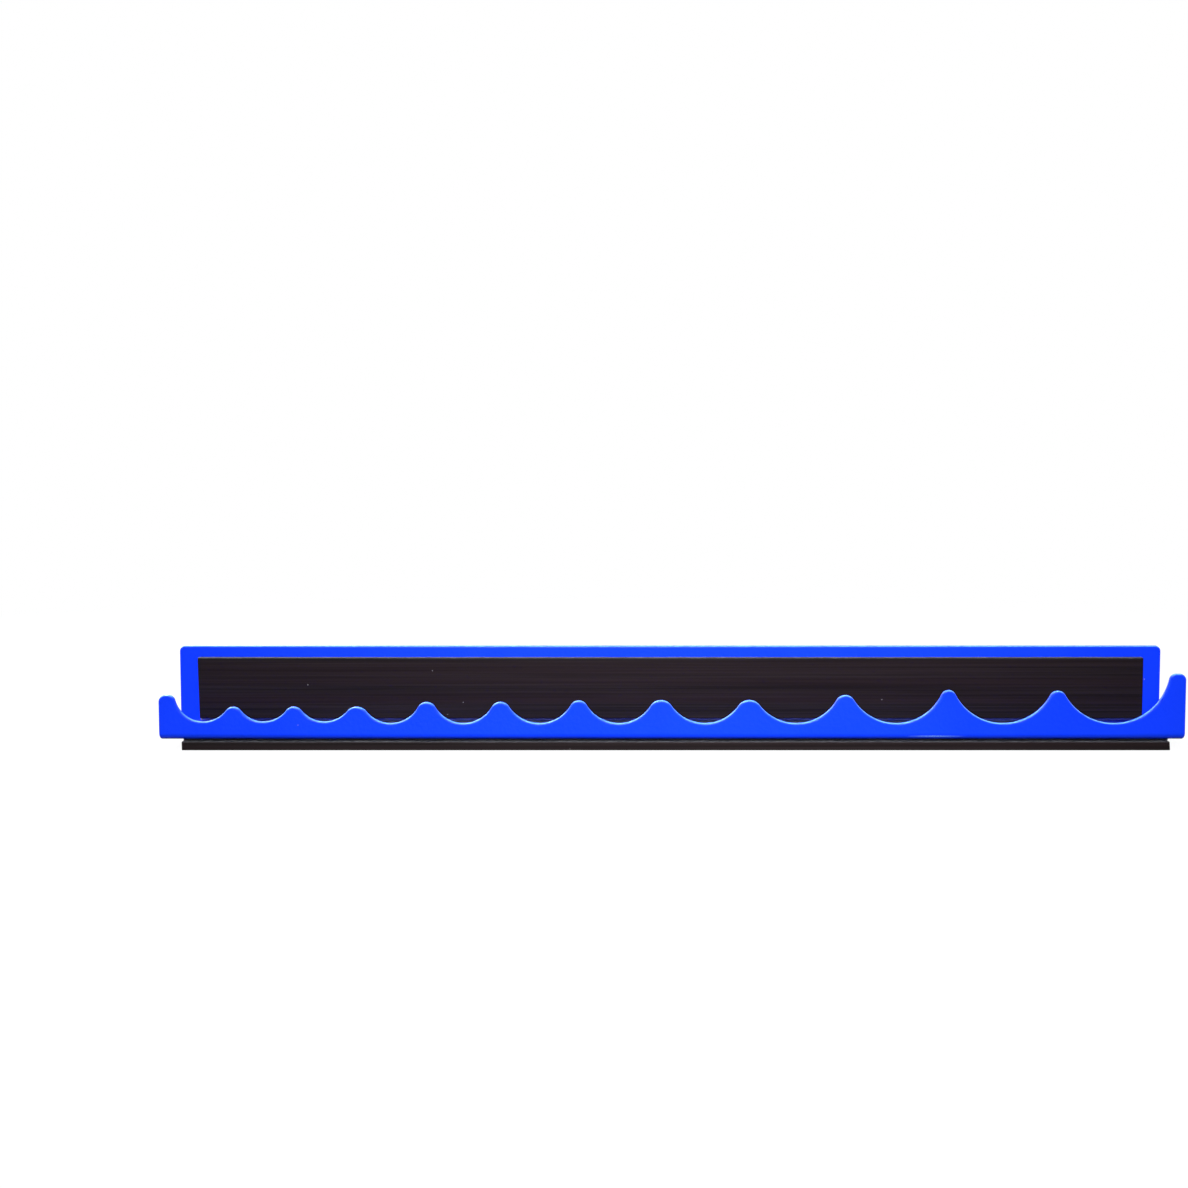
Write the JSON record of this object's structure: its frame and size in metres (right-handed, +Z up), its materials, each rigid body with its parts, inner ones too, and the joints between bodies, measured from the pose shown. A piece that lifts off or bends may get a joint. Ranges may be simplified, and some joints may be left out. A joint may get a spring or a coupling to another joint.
{
  "type": "magnetic socket holder",
  "caption": "Folded steel rail with a scalloped lip and magnet strips that hold wrench sockets in graduated round seats and the rail on a steel surface.",
  "frame": {"origin": "middle of the rail's length and depth, on the surface that the base magnet strip stands on", "axes": "+X along the rail from the small seats to the large ones, +Y from the lip to the back plate, +Z up"},
  "size_m": [0.3, 0.025, 0.0284],
  "materials": {
    "blue_powder_coat": "smooth satin powder coat",
    "flexible_magnet": "matte, with fine extrusion lines",
    "adhesive_tape": "satin"
  },
  "bodies": {
    "root": {"folded_rail": "blue_powder_coat", "socket_magnet_strip": "flexible_magnet", "socket_strip_tape": "adhesive_tape", "base_magnet_strip": "flexible_magnet", "base_strip_tape": "adhesive_tape"}
  },
  "joints": []
}
